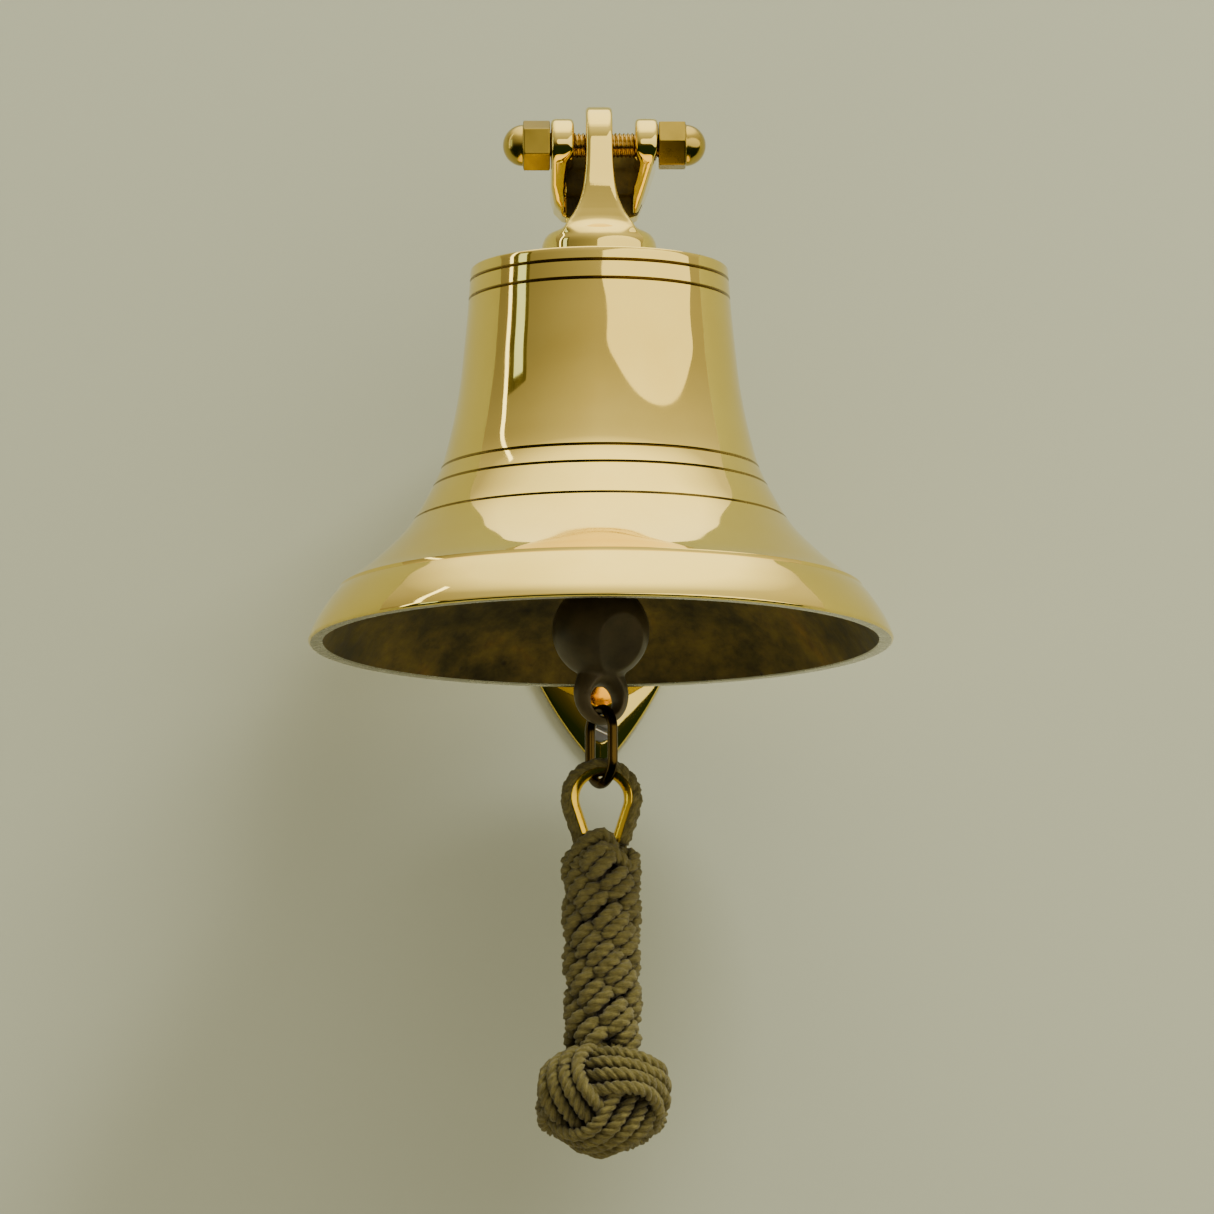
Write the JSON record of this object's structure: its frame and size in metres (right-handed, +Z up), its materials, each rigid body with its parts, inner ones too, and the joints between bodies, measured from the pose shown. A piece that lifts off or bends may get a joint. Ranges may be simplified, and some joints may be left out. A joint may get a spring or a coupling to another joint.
{
  "type": "ship bell",
  "caption": "Flared brass bell on a wall bracket with a pointed oval plate, rung by a swinging clapper with a knotted rope lanyard.",
  "frame": {"origin": "middle of the wall plate's flat back face, on the wall's surface", "axes": "+Z up; +Y into the wall, square to the plate's back face, so the bell hangs towards -Y; +X to the right for someone facing the wall"},
  "size_m": [0.178, 0.227, 0.3225],
  "materials": {
    "polished_brass": "cast brass, mirror polished outside, dull as cast inside the bell",
    "nut_brass": "machined brass, slightly darker and warmer, handled",
    "bright_brass": "thin pressed brass, bright yellow",
    "stud_brass": "threaded brass rod",
    "dark_bronze": "dark bronze with a dull brown skin, worn bright on its edges",
    "steel": "plain zinc-grey steel",
    "leather": "oiled brown washer leather",
    "hemp_rope": "laid hemp line, olive tan, slightly fuzzy",
    "wood": "plain turned wood, hidden inside the knot"
  },
  "bodies": {
    "bracket": {"wall_bracket": "polished_brass", "wall_screw_lower": "steel", "wall_screw_left": "steel", "wall_screw_right": "steel"},
    "axle": {"pivot_stud": "stud_brass", "cap_nut_right": "nut_brass", "cap_nut_left": "nut_brass"},
    "bell": {"hanger_lug": "polished_brass", "bell_body": "polished_brass", "crown_washer": "leather", "crown_nut": "nut_brass", "clapper_clevis": "nut_brass", "clapper_pin": "steel", "split_pin": "steel"},
    "clapper": {"clapper_shank": "dark_bronze", "clapper_ball": "dark_bronze"},
    "link": {"lanyard_link": "nut_brass"},
    "lanyard": {"thimble": "bright_brass", "lanyard_eye_rope": "hemp_rope", "lanyard_heart": "hemp_rope", "lanyard_sennit": "hemp_rope", "knob_core": "wood", "lanyard_knob": "hemp_rope"}
  },
  "joints": [
    {"name": "axle_turn", "type": "hinge", "parent": "bracket", "child": "axle", "pos_m": [0, -0.115, 0.0948], "axis": [1, 0, 0], "continuous": true},
    {"name": "bell_swing", "type": "hinge", "parent": "bracket", "child": "bell", "pos_m": [0, -0.115, 0.0948], "axis": [-1, 0, 0], "range_deg": [-8, 60]},
    {"name": "clapper_swing", "type": "hinge", "parent": "bell", "child": "clapper", "pos_m": [-0.0017, -0.115, 0.032], "axis": [-1, 0, 0], "range_deg": [-33, 33]},
    {"name": "link_swing", "type": "hinge", "parent": "clapper", "child": "link", "pos_m": [-0.0017, -0.115, -0.0862], "axis": [0.866, 0.5, 0], "range_deg": [-50, 50]},
    {"name": "lanyard_swing", "type": "hinge", "parent": "link", "child": "lanyard", "pos_m": [-0.0017, -0.115, -0.1022], "axis": [0, -1, 0], "range_deg": [-35, 35]}
  ]
}
